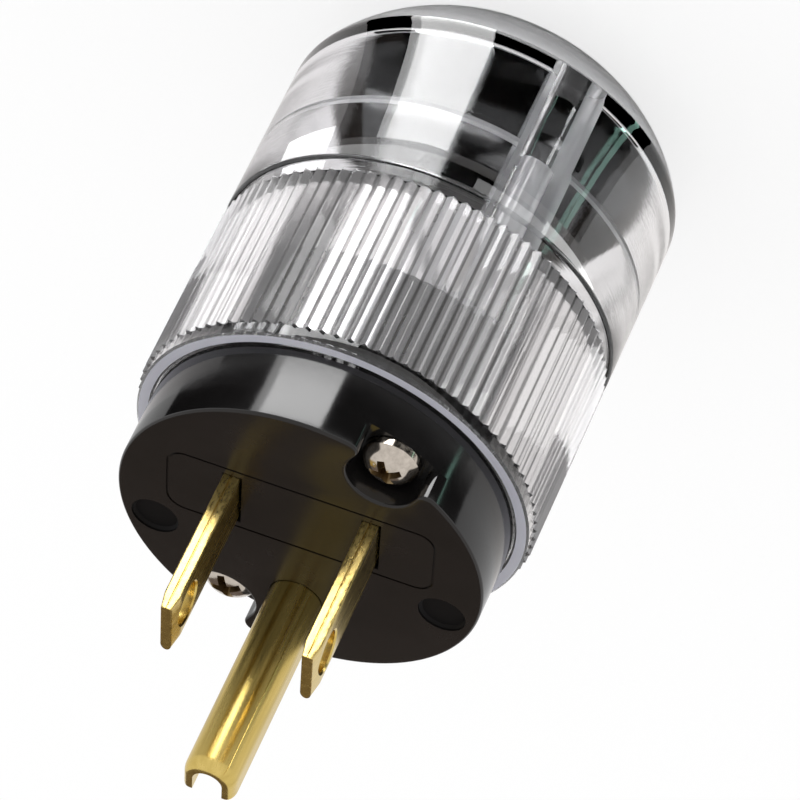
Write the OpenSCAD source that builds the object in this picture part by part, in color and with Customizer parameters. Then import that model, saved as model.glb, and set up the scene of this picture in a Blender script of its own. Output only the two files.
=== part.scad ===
// Rewireable two-blade power plug with a U-shaped ground pin and a clear ribbed housing.
// It stands on the flat rear end of the housing, blades up, with Z along the plug's axis.

/* [Housing] */
// Outer diameter of the housing, over the barrel and the grip ribs
shell_d = 37.2; // [34:0.2:42]
// Length of the housing from its rear end to its front rim
shell_len = 44.75; // [42:0.25:52]
// Height of the edge where the rear shoulder begins
shoulder_z = 7.5; // [6:0.5:9]
// Radius of the shoulder's curve
shoulder_curve = 16; // [15:0.5:18]
// Angle of the shoulder to the axis at that edge
shoulder_angle = 23.4; // [20:0.2:26]
// Wall of the barrel and of the rear end
shell_wall = 2.4; // [1.8:0.1:2.8]
// Step by which the bore widens in front of the inner ring line
bore_step = 0.75; // [0.4:0.05:1]
// Height of the inner ring line above the rear end
step_z = 16; // [15:0.5:22]
// Height of the sloping step at the inner ring line
step_h = 0.75; // [0.3:0.05:1.5]
// Diameter of the cord inlet in the rear end
cord_inlet_d = 11; // [8:0.5:11]

/* [Grip] */
// Number of ribs round the grip
rib_count = 90; // [60:2:110]
// Depth of the grooves between the ribs
rib_depth = 0.65; // [0.3:0.05:0.8]
// Length of the ribs
rib_len = 17.75; // [12:0.25:19]
// Length of the plain collar in front of the ribs
collar_len = 1.3; // [0.8:0.1:2.5]
// Depth of the collar below the rib crests
collar_drop = 0.36; // [0.1:0.02:0.6]
// Width of the neck behind the ribs
neck_w = 1.3; // [0.6:0.1:2.5]
// Depth of the neck, and the rounding of the barrel's edge above it
neck_depth = 0.35; // [0.1:0.05:0.6]
// Chamfer of the front rim
rim_chamfer = 0.2; // [0.1:0.05:0.35]

/* [Front body] */
// Thickness of the face plate
face_t = 2.9; // [2.6:0.1:5]
// Length of the contact body
body_len = 15.6; // [14.5:0.1:18]
// Length of the contact body that stands out of the housing
body_stand = 4.55; // [2:0.05:6]
// Rounding of the face plate's rim
face_edge_r = 0.5; // [0.2:0.1:1]
// Diameter of the two round recesses in the face
recess_d = 4.4; // [3:0.1:5]
// Depth of the two round recesses
recess_depth = 0.45; // [0.2:0.05:0.8]
// Distance of each round recess from the plug's axis plane
recess_x = 13.33; // [12.5:0.01:13.8]
// Offset of the round recesses towards the ground pin
recess_y = 3.78; // [2:0.02:5]
// Length of the rectangular groove line round the blades
panel_w = 24.7; // [20:0.1:25]
// Width of the rectangular groove line
panel_h = 8.2; // [7.4:0.1:9]
// Corner radius of the groove line
panel_r = 1.8; // [1:0.1:3]
// Width of the groove line
panel_line = 0.22; // [0.1:0.01:0.4]
// Depth of the groove line
panel_depth = 0.18; // [0.1:0.02:0.4]

/* [Blades and ground pin] */
// Distance between the blade centres
blade_spacing = 12.7; // [12:0.1:13.2]
// Width of each blade
blade_w = 6.35; // [5.8:0.05:6.6]
// Thickness of each blade
blade_t = 1.52; // [1.3:0.02:1.6]
// Length of the blades in front of the face
blade_len = 14.6; // [13:0.1:18.3]
// Offset of the blade row from the axis, away from the ground pin
blade_offset = 2.93; // [2.4:0.01:3.4]
// Diameter of the hole through each blade
blade_hole_d = 3.96; // [3:0.02:4.2]
// Distance of that hole from the face
blade_hole_z = 11.5; // [9.5:0.1:12]
// Thickness left at the blade tip by its bevels
tip_t = 0.95; // [0.6:0.05:1.2]
// Length of the bevels at the blade tip
tip_bevel = 1.5; // [0.6:0.1:2.5]
// Depth of the fold seam along the blade's free edge
seam_depth = 0.2; // [0.05:0.05:0.3]
// Extra width of the blade shank that is trapped behind the face
shank_extra = 1.3; // [0.6:0.1:2]
// Distance of the ground pin from the blade row
ground_offset = 11.89; // [11.5:0.01:12.2]
// Width of the U-shaped ground pin
ground_w = 4.8; // [4.4:0.05:5]
// Thickness of the ground pin's metal
ground_t = 1.05; // [0.8:0.05:1.2]
// Length of the ground pin's legs beyond the centre of its arch
ground_leg = 1.6; // [1:0.1:2.2]
// Length of the ground pin in front of the face
ground_len = 20.5; // [19:0.1:22]
// Length of the bevel round the ground pin's tip
ground_bevel = 1.3; // [0.6:0.1:2]

/* [Terminals] */
// Depth of the terminal pockets in the contact body
pocket_depth = 9; // [8:0.1:10]
// Thickness of the terminal feet
foot_t = 1.5; // [1:0.1:2]
// Thickness of the terminal clamp plates
plate_t = 1.3; // [1:0.1:1.6]
// Distance of the blade terminal screws from the blade centres
terminal_reach = 2.45; // [2.3:0.05:2.6]
// Distance of the ground terminal screw from the ground pin
ground_reach = 4.9; // [4.7:0.1:5.2]
// Diameter of the terminal screws
terminal_d = 3; // [2.5:0.1:3.2]
// Head diameter of the terminal screws
terminal_head_d = 4.8; // [4:0.1:5]
// Head height of the terminal screws
terminal_head_h = 1.8; // [1.2:0.1:2.2]

/* [Assembly screws] */
// Angle of the screw pair round the axis
screw_angle = 61; // [56:0.1:70]
// Distance of the screw axes from the rim of the contact body
screw_inset = 2.45; // [2:0.01:2.8]
// Diameter of the assembly screws
screw_d = 2.8; // [2.4:0.1:3]
// Head diameter of the assembly screws
screw_head_d = 5.2; // [4.4:0.1:5.8]
// Head height of the assembly screws
screw_head_h = 2.2; // [1.4:0.1:2.6]
// Length of the assembly screws below the head
screw_len = 22.6; // [19:0.1:26]
// Depth of the cross recess in the screw heads
recess_cross = 0.9; // [0.5:0.1:1.1]
// Width of the notches in the face plate
notch_w = 6.4; // [5.6:0.1:7]
// Rounding of the notches' corners at the rim
notch_corner_r = 1; // [0.3:0.1:1.4]
// Radius of the screw bosses in the housing
boss_r = 2.35; // [2.2:0.05:2.5]
// Depth of the pilot holes in the bosses
pilot_depth = 17; // [15:0.5:20]

/* [Terminal cover and cord clamp] */
// Height of the terminal cover, its clamp left out
cover_h = 4.4; // [3.5:0.1:5]
// Radius of the cord passage through the clamp
passage_r = 5.6; // [5.5:0.1:5.8]
// Thickness of the cord strap
strap_t = 1.2; // [0.8:0.1:1.4]
// Width of the cord strap along the axis
strap_w = 4.4; // [3.8:0.1:7]
// Length of each ear of the cord strap
ear_len = 4.3; // [4.2:0.05:4.4]
// Height of the strap's seat above the axis plane
strap_seat = 0.9; // [0.4:0.1:1.4]
// Height of the strap's lower edge above the top of the cover
strap_gap = 0.5; // [0.3:0.1:2]
// Diameter of the strap screws
strap_screw_d = 2.2; // [1.8:0.1:2.4]
// Head diameter of the strap screws
strap_head_d = 3.2; // [2.8:0.1:3.3]
// Head height of the strap screws
strap_head_h = 1.2; // [0.8:0.1:1.4]
// Length of the strap screws below the head
strap_screw_len = 8; // [6:0.5:8.5]

/* [Fits] */
// Radial clearance of the contact body in the housing
slide_clear = 0.1; // [0.05:0.01:0.2]
// Clearance round the blades and the ground pin in their slots
slot_clear = 0.08; // [0.05:0.01:0.15]
// Radial clearance of screws in their holes
screw_clear = 0.15; // [0.1:0.01:0.25]
// Radial clearance of screw threads in their pilot holes
thread_clear = 0.05; // [0.03:0.01:0.08]
// Clearance of the terminal cover round the bosses
cover_clear = 0.25; // [0.15:0.05:0.4]

/* [Hidden] */
$fn = 96;
eps = 0.02;

// Colours of the materials
clear_shell = [0.86, 0.88, 0.92, 0.4];
black_plastic = [0.09, 0.08, 0.08];
brass = [0.78, 0.62, 0.25];
nickel = [0.78, 0.76, 0.73];
ground_green = [0.16, 0.42, 0.24];
zinc_steel = [0.72, 0.73, 0.75];

// Levels along the axis
rim_z = shell_len;
seam_z = rim_z + body_stand;
face_z = seam_z + face_t;
body_rear_z = seam_z - body_len;
pocket_top = body_rear_z + pocket_depth;
foot_z = pocket_top - foot_t;
plate_z = foot_z - plate_t;
rib_top = rim_z - collar_len;
rib_bottom = rib_top - rib_len;
neck_bottom = rib_bottom - neck_w;
floor_z = shell_wall;
cover_top = floor_z + cover_h;
column_z = shoulder_z - 1;
strap_z = cover_top + strap_gap;
lug_top = strap_z + strap_w + 0.8;

// Radii round the axis
shell_r = shell_d / 2;
shoulder_x = shell_r - shoulder_curve * cos(shoulder_angle);
shoulder_top = shoulder_z + shoulder_curve * sin(shoulder_angle);
rear_bore_r = shell_r - shell_wall;
bore_r = rear_bore_r + bore_step;
body_r = bore_r - slide_clear;
screw_r = body_r - screw_inset;
cord_inlet_r = cord_inlet_d / 2;

// Places of the contacts
blade_y = -blade_offset;
ground_y = blade_y + ground_offset;
blade_x = blade_spacing / 2;
terminal_x = blade_x + terminal_reach;
ground_screw_y = ground_y - ground_reach;
foot_end = terminal_x + terminal_head_d / 2;
pocket_margin = 0.6;
peg_r = 1.25;
peg_len = 3;
peg_x = 10.5;
peg_y = 6.5;
lug_x = passage_r + 0.6;
lug_w = ear_len - 0.6;
lug_drop = strap_screw_len + 0.6;
strap_screw_x = passage_r + ear_len * 0.605;
strap_screw_z = strap_z + strap_w / 2;

// Flat shapes

module rounded_rect(w, h, r) {
  square([w - 2 * r, h], center = true);
  square([w, h - 2 * r], center = true);
  for (sx = [-1, 1], sy = [-1, 1])
    translate([sx * (w / 2 - r), sy * (h / 2 - r)])
      circle(r);
}

// Quarter of a disc that starts at the given angle
module quarter_disc(r, turn) {
  rotate(turn)
    intersection() {
      circle(r);
      square(r);
    }
}

// Half section of the rear end, drawn in by an even depth, up to the centre of the shoulder's curve
module shoulder_section(r, low, depth) {
  intersection() {
    translate([0, low])
      square([r, shoulder_top - low]);
    translate([shoulder_x, shoulder_top])
      circle(shoulder_curve - depth);
  }
}

// Filled arch with straight legs that point to +Y
module arch_section(r, leg) {
  difference() {
    union() {
      circle(r);
      translate([-r, 0])
        square([2 * r, leg]);
    }
    translate([-2 * r, leg])
      square([4 * r, 2 * r]);
  }
}

// Section of the folded U-shaped ground pin, with an allowance all round
module ground_section(gap = 0) {
  outer = ground_w / 2 + gap;
  inner = ground_w / 2 - ground_t - gap;
  difference() {
    arch_section(outer, ground_leg + gap);
    arch_section(inner, ground_leg + gap + eps);
  }
}

// Section of a blade folded from two leaves: the fold is round, the free edge shows a seam
module blade_section() {
  fold_r = blade_t / 2;
  difference() {
    union() {
      translate([-blade_t / 2, -blade_w / 2])
        square([blade_t, blade_w - fold_r]);
      translate([0, blade_w / 2 - fold_r])
        circle(fold_r);
    }
    translate([0, -blade_w / 2])
      polygon([[-seam_depth / 2, -eps], [seam_depth / 2, -eps], [0, seam_depth]]);
  }
}

// Places a child at both ends of the screw pair's diameter
module at_screws() {
  for (turn = [0, 180])
    rotate(screw_angle + turn)
      translate([screw_r, 0])
        children();
}

// Rounded screw head with its underside at z = 0, facing +Z
module domed_head(d, h) {
  dome_r = 0.6 * d;
  intersection() {
    cylinder(d = d, h = h);
    translate([0, 0, h - dome_r])
      sphere(dome_r);
  }
}

// Housing

module shell_outside() {
  collar_r = shell_r - collar_drop;
  shoulder_section(shell_r, 0, 0);
  translate([0, shoulder_top - eps])
    square([shell_r, neck_bottom - neck_depth - shoulder_top + eps]);
  translate([shell_r - neck_depth, neck_bottom - neck_depth])
    quarter_disc(neck_depth, 0);
  translate([0, neck_bottom - neck_depth - eps])
    square([shell_r - neck_depth, neck_w + neck_depth + 2 * eps]);
  translate([0, rib_bottom])
    square([shell_r - rib_depth - eps, rib_len]);
  translate([0, rib_top])
    polygon([
      [0, 0], [collar_r, 0], [collar_r, collar_len - rim_chamfer],
      [collar_r - rim_chamfer, collar_len], [0, collar_len]
    ]);
}

// Hollow of the housing, which widens at the inner ring line and again at the front rim
module shell_bore() {
  shoulder_section(rear_bore_r, floor_z, shell_wall);
  translate([0, shoulder_top - eps])
    square([rear_bore_r, step_z - shoulder_top + 2 * eps]);
  translate([0, step_z])
    polygon([
      [0, 0], [rear_bore_r, 0], [bore_r, step_h],
      [bore_r, rim_z - step_z - rim_chamfer], [bore_r + rim_chamfer, rim_z - step_z],
      [bore_r + rim_chamfer, rim_z - step_z + 1], [0, rim_z - step_z + 1]
    ]);
}

module grip_ribs() {
  pitch = 360 / rib_count;
  root = shell_r - rib_depth;
  crests = [for (i = [0 : rib_count - 1])
    each [
      [shell_r * cos(i * pitch), shell_r * sin(i * pitch)],
      [root * cos((i + 0.5) * pitch), root * sin((i + 0.5) * pitch)]
    ]];
  translate([0, 0, rib_bottom])
    linear_extrude(rib_len)
      polygon(crests);
}

// Column that takes one assembly screw, joined to the wall by a web
module screw_column() {
  column_h = body_rear_z - column_z;
  web_w = 1.7 * boss_r;
  web_len = bore_r - screw_r + 0.4;
  translate([0, 0, column_z]) {
    cylinder(r = boss_r, h = column_h);
    translate([0, -web_w / 2, 0])
      cube([web_len, web_w, column_h]);
  }
}

module housing_shell() {
  color(clear_shell)
    difference() {
      union() {
        difference() {
          union() {
            rotate_extrude() shell_outside();
            grip_ribs();
          }
          rotate_extrude() shell_bore();
        }
        at_screws() screw_column();
      }
      translate([0, 0, -1])
        cylinder(r = cord_inlet_r, h = floor_z + 2);
      at_screws()
        translate([0, 0, body_rear_z - pilot_depth])
          cylinder(d = screw_d + 2 * thread_clear, h = pilot_depth + 1);
    }
}

// Terminal cover, which fills the rear shoulder and carries the cord clamp

// Lugs and saddle of the cord clamp, on the top of the cover
module clamp_seat() {
  for (side = [-1, 1])
    translate([side * (lug_x + lug_w / 2) - lug_w / 2, -lug_drop, cover_top - eps])
      cube([lug_w, lug_drop + strap_seat, lug_top - cover_top + eps]);
  difference() {
    translate([-lug_x - eps, -lug_drop, cover_top - eps])
      cube([2 * (lug_x + eps), lug_drop - passage_r / 2, strap_z + strap_w - cover_top + eps]);
    translate([0, 0, cover_top - 1])
      cylinder(r = passage_r, h = strap_w + strap_gap + 2);
  }
}

module terminal_cover() {
  color(black_plastic)
    difference() {
      union() {
        rotate_extrude()
          intersection() {
            shoulder_section(rear_bore_r, floor_z, shell_wall + cover_clear);
            square([rear_bore_r, cover_top]);
          }
        clamp_seat();
      }
      cylinder(r = cord_inlet_r, h = cover_top + 1);
      at_screws()
        cylinder(r = boss_r + cover_clear, h = cover_top + 1);
      for (side = [-1, 1])
        translate([side * strap_screw_x, strap_seat + 1, strap_screw_z])
          rotate([90, 0, 0])
            cylinder(d = strap_screw_d + 2 * thread_clear, h = strap_screw_len + 0.5);
    }
}

// Contact body and face plate

// Pockets for the terminals, open at the rear face
module terminal_pockets() {
  pocket_in = blade_x - blade_t / 2 - pocket_margin;
  pocket_out = foot_end + pocket_margin;
  pocket_w = blade_w + 2 * pocket_margin;
  for (side = [-1, 1])
    translate([side * (pocket_in + pocket_out) / 2, blade_y, body_rear_z + pocket_depth / 2 - 0.5])
      cube([pocket_out - pocket_in, pocket_w, pocket_depth + 1], center = true);
  ground_from = ground_screw_y - terminal_head_d / 2 - pocket_margin;
  ground_to = ground_y + ground_leg + pocket_margin;
  translate([-ground_foot_w() / 2 - pocket_margin, ground_from, body_rear_z - 1])
    cube([ground_foot_w() + 2 * pocket_margin, ground_to - ground_from, pocket_depth + 1]);
}

function ground_foot_w() = terminal_head_d + 1.2;

// Slots for the blade shanks and the ground pin, from z0 to z1
module contact_slots(width, z0, z1) {
  for (side = [-1, 1])
    translate([side * blade_x, blade_y, (z0 + z1) / 2])
      cube([blade_t + 2 * slot_clear, width + 2 * slot_clear, z1 - z0], center = true);
  translate([0, ground_y, z0])
    linear_extrude(z1 - z0)
      ground_section(slot_clear);
}

module at_terminals() {
  for (side = [-1, 1])
    translate([side * terminal_x, blade_y, 0])
      children();
  translate([0, ground_screw_y, 0])
    children();
}

module at_pegs() {
  for (side = [-1, 1])
    translate([side * peg_x, peg_y, 0])
      children();
}

module contact_body() {
  chamfer = 0.5;
  relief_h = seam_z - pocket_top - 1.5;
  color(black_plastic)
    difference() {
      union() {
        translate([0, 0, body_rear_z + chamfer])
          cylinder(r = body_r, h = body_len - chamfer);
        translate([0, 0, body_rear_z])
          cylinder(r1 = body_r - chamfer, r2 = body_r, h = chamfer);
      }
      terminal_pockets();
      contact_slots(blade_w + shank_extra, pocket_top - 1, seam_z + 1);
      at_terminals()
        translate([0, 0, pocket_top - 1])
          cylinder(d = terminal_d + 2 * screw_clear, h = relief_h + 1);
      at_screws()
        translate([0, 0, body_rear_z - 1])
          cylinder(d = screw_d + 2 * screw_clear, h = body_len + 2);
      at_pegs()
        translate([0, 0, seam_z - peg_len - 0.5])
          cylinder(r = peg_r + thread_clear, h = peg_len + 1);
    }
}

module face_disc() {
  rotate_extrude() {
    translate([0, seam_z])
      square([body_r, face_t - face_edge_r]);
    translate([0, seam_z])
      square([body_r - face_edge_r, face_t]);
    translate([body_r - face_edge_r, face_z - face_edge_r])
      circle(face_edge_r);
  }
}

// Notch open to the rim, round at its inner end, with rounded corners at the rim
module screw_notch() {
  half_w = notch_w / 2;
  corner_y = half_w + notch_corner_r;
  corner_x = sqrt(pow(body_r - notch_corner_r, 2) - pow(corner_y, 2)) - screw_r;
  touch = body_r / (body_r - notch_corner_r);
  translate([0, 0, seam_z - 1])
    linear_extrude(face_t + 2) {
      circle(half_w);
      translate([0, -half_w])
        square([notch_w, notch_w]);
      for (side = [-1, 1])
        difference() {
          polygon([
            [corner_x, side * (half_w - eps)],
            [corner_x, side * corner_y],
            [(corner_x + screw_r) * touch - screw_r, side * corner_y * touch],
            [notch_w, side * corner_y * touch],
            [notch_w, side * (half_w - eps)]
          ]);
          translate([corner_x, side * corner_y])
            circle(notch_corner_r);
        }
    }
}

module groove_line() {
  translate([0, blade_y, face_z - panel_depth])
    linear_extrude(panel_depth + 1)
      difference() {
        rounded_rect(panel_w, panel_h, panel_r);
        rounded_rect(panel_w - 2 * panel_line, panel_h - 2 * panel_line, panel_r - panel_line);
      }
}

module face_plate() {
  color(black_plastic) {
    difference() {
      face_disc();
      at_screws() screw_notch();
      contact_slots(blade_w, seam_z - 1, face_z + 1);
      groove_line();
      for (side = [-1, 1])
        translate([side * recess_x, recess_y, face_z - recess_depth])
          cylinder(d = recess_d, h = recess_depth + 1);
    }
    at_pegs()
      translate([0, 0, seam_z - peg_len])
        cylinder(r = peg_r, h = peg_len + eps);
  }
}

// Blades and ground pin

// Outline of a blade seen on its edge, thinned towards the tip
module blade_edge_outline() {
  tip_z = face_z + blade_len;
  polygon([
    [-blade_t / 2, foot_z], [blade_t / 2, foot_z],
    [blade_t / 2, tip_z - tip_bevel], [tip_t / 2, tip_z],
    [-tip_t / 2, tip_z], [-blade_t / 2, tip_z - tip_bevel]
  ]);
}

// Blade with its shank and terminal foot, the foot bent towards +X
module blade() {
  shank_w = blade_w + shank_extra;
  difference() {
    union() {
      intersection() {
        translate([0, 0, foot_z])
          linear_extrude(face_z + blade_len - foot_z)
            blade_section();
        translate([0, blade_w, 0])
          rotate([90, 0, 0])
            linear_extrude(2 * blade_w)
              blade_edge_outline();
      }
      translate([-blade_t / 2, -shank_w / 2, pocket_top])
        cube([blade_t, shank_w, seam_z - pocket_top]);
      translate([-blade_t / 2, -blade_w / 2, foot_z])
        cube([foot_end - blade_x + blade_t / 2, blade_w, foot_t]);
    }
    translate([-blade_w, 0, face_z + blade_hole_z])
      rotate([0, 90, 0])
        cylinder(d = blade_hole_d, h = 2 * blade_w);
    translate([terminal_reach, 0, foot_z - 1])
      cylinder(d = terminal_d + 2 * thread_clear, h = foot_t + 2);
  }
}

module line_blade() {
  color(brass)
    translate([blade_x, blade_y, 0])
      blade();
}

module neutral_blade() {
  color(brass)
    translate([-blade_x, blade_y, 0])
      mirror([1, 0, 0])
        blade();
}

module ground_pin() {
  tip_z = face_z + ground_len;
  reach_r = norm([ground_w / 2, ground_leg]) + eps;
  foot_to = ground_y + ground_leg;
  foot_from = ground_screw_y - terminal_head_d / 2;
  color(brass)
    difference() {
      union() {
        intersection() {
          translate([0, ground_y, foot_z])
            linear_extrude(tip_z - foot_z)
              ground_section();
          translate([0, ground_y, 0]) {
            cylinder(r = reach_r, h = tip_z - ground_bevel);
            translate([0, 0, tip_z - ground_bevel])
              cylinder(r1 = reach_r, r2 = reach_r - ground_t, h = ground_bevel);
          }
        }
        translate([-ground_foot_w() / 2, foot_from, foot_z])
          cube([ground_foot_w(), foot_to - foot_from, foot_t]);
      }
      translate([0, ground_screw_y, foot_z - 1])
        cylinder(d = terminal_d + 2 * thread_clear, h = foot_t + 2);
    }
}

// Terminal clamp plates and screws

module clamp_plate(w, depth) {
  difference() {
    translate([-w / 2, -depth / 2, plate_z])
      cube([w, depth, plate_t]);
    translate([0, 0, plate_z - 1])
      cylinder(d = terminal_d + 2 * screw_clear, h = plate_t + 2);
  }
}

module terminal_screw() {
  shank = foot_t + plate_t + 3;
  difference() {
    union() {
      translate([0, 0, plate_z])
        mirror([0, 0, 1])
          domed_head(terminal_head_d, terminal_head_h);
      translate([0, 0, plate_z - eps])
        cylinder(d = terminal_d, h = shank);
    }
    translate([-terminal_head_d, -0.4, plate_z - terminal_head_h - 1])
      cube([2 * terminal_head_d, 0.8, 1 + terminal_head_h / 2]);
  }
}

module line_clamp_plate() {
  color(brass)
    translate([terminal_x, blade_y, 0])
      clamp_plate(terminal_head_d, blade_w);
}

module neutral_clamp_plate() {
  color(nickel)
    translate([-terminal_x, blade_y, 0])
      clamp_plate(terminal_head_d, blade_w);
}

module ground_clamp_plate() {
  color(brass)
    translate([0, ground_screw_y, 0])
      clamp_plate(ground_foot_w(), terminal_head_d);
}

module line_terminal_screw() {
  color(brass)
    translate([terminal_x, blade_y, 0])
      terminal_screw();
}

module neutral_terminal_screw() {
  color(nickel)
    translate([-terminal_x, blade_y, 0])
      terminal_screw();
}

module ground_terminal_screw() {
  color(ground_green)
    translate([0, ground_screw_y, 0])
      terminal_screw();
}

// Assembly screws

module cross_recess() {
  slot_w = 0.16 * screw_head_d;
  slot_len = 0.68 * screw_head_d;
  for (turn = [0, 90])
    rotate(turn)
      translate([-slot_len / 2, -slot_w / 2, 0])
        cube([slot_len, slot_w, recess_cross + 1]);
}

module assembly_screws() {
  color(nickel)
    at_screws()
      translate([0, 0, seam_z])
        difference() {
          union() {
            domed_head(screw_head_d, screw_head_h);
            translate([0, 0, -screw_len])
              cylinder(d = screw_d, h = screw_len + eps);
          }
          translate([0, 0, screw_head_h - recess_cross])
            cross_recess();
        }
}

// Cord clamp

module cord_strap() {
  ear_from = sqrt(pow(passage_r + strap_t, 2) - pow(strap_seat + strap_t, 2)) - strap_t / 2;
  ear_to = passage_r + ear_len;
  color(zinc_steel)
    difference() {
      translate([0, 0, strap_z])
        linear_extrude(strap_w) {
          difference() {
            circle(passage_r + strap_t);
            circle(passage_r);
            translate([-2 * passage_r, -4 * passage_r + strap_seat])
              square([4 * passage_r, 4 * passage_r]);
          }
          for (side = [-1, 1])
            translate([side * (ear_from + ear_to) / 2 - (ear_to - ear_from) / 2, strap_seat])
              square([ear_to - ear_from, strap_t]);
        }
      for (side = [-1, 1])
        translate([side * strap_screw_x, strap_seat + strap_t + 1, strap_screw_z])
          rotate([90, 0, 0])
            cylinder(d = strap_screw_d + 2 * screw_clear, h = strap_t + 2);
    }
}

module cord_strap_screws() {
  color(zinc_steel)
    for (side = [-1, 1])
      translate([side * strap_screw_x, strap_seat + strap_t, strap_screw_z])
        rotate([-90, 0, 0])
          difference() {
            union() {
              domed_head(strap_head_d, strap_head_h);
              translate([0, 0, -strap_screw_len])
                cylinder(d = strap_screw_d, h = strap_screw_len + eps);
            }
            translate([-strap_head_d, -0.3, strap_head_h / 2])
              cube([2 * strap_head_d, 0.6, strap_head_h]);
          }
}

housing_shell();
terminal_cover();
contact_body();
face_plate();
line_blade();
neutral_blade();
ground_pin();
line_clamp_plate();
neutral_clamp_plate();
ground_clamp_plate();
line_terminal_screw();
neutral_terminal_screw();
ground_terminal_screw();
assembly_screws();
cord_strap();
cord_strap_screws();
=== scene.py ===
"""Studio scene of a clear-housed, grounded power plug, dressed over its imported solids.

The plug stands on its flat rear end with its blades up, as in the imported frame.
Sizes inside the classes are millimetres; meshes are written in metres.
"""

from __future__ import annotations

import functools
import logging
import math
import random
from dataclasses import dataclass, field
from enum import Enum, IntEnum
from typing import Callable, Sequence

import bmesh
import bpy
from mathutils import Matrix, Vector


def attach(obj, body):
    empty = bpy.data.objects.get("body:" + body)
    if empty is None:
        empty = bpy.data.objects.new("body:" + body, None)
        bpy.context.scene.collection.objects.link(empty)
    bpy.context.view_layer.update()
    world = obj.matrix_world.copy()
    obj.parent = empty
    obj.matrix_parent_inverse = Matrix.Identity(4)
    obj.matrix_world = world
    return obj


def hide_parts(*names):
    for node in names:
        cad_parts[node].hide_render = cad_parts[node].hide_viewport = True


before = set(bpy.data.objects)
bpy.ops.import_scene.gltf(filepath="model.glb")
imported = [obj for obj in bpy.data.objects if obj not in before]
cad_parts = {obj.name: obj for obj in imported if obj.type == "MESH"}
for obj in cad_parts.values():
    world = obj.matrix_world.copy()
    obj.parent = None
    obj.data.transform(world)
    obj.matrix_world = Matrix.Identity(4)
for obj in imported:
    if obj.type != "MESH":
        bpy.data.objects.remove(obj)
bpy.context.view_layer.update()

LOG = logging.getLogger("plug")
MM = 0.001
BODY = "root"

WHITE = (1.0, 1.0, 1.0)
# Whole turns that keep a ridge's phase above zero.
WHOLE_TURNS = 400.0

Point2 = tuple[float, float]
Triple = tuple[float, float, float]
Ring = list[Triple]
Piece = bpy.types.Object
Material = bpy.types.Material
Node = bpy.types.Node
Socket = bpy.types.NodeSocket


class Slot(Enum):
    """Material slots of the record."""

    CLEAR = "clear_plastic"
    GLOSS = "black_gloss"
    SATIN = "black_satin"
    BRASS = "brass"
    NICKEL = "nickel"
    GREEN = "ground_green"
    ZINC = "zinc_steel"


# Node trees


class Board:
    """Node tree with helpers that add, link and compute.

    Args:
        tree: Tree to fill.
    """

    def __init__(self, tree: bpy.types.NodeTree) -> None:
        """Keeps the tree."""
        self.tree = tree

    def add(self, kind: str, **values: object) -> Node:
        """Adds one node.

        Args:
            kind: Blender's node type name.
            values: Attributes of the node.

        Returns:
            The new node.
        """
        node = self.tree.nodes.new(kind)
        for key, value in values.items():
            setattr(node, key, value)
        return node

    def link(self, source: Socket, target: Socket) -> None:
        """Links two sockets."""
        self.tree.links.new(source, target)

    def math(self, operation: str, *values: Socket | float) -> Socket:
        """Adds a Math node.

        Args:
            operation: Blender's operation name.
            values: Its inputs, as sockets or numbers.

        Returns:
            The result.
        """
        node = self.add("ShaderNodeMath", operation=operation)
        for socket, value in zip(node.inputs, values):
            if isinstance(value, Socket):
                self.link(value, socket)
            else:
                socket.default_value = value
        return node.outputs[0]


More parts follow.
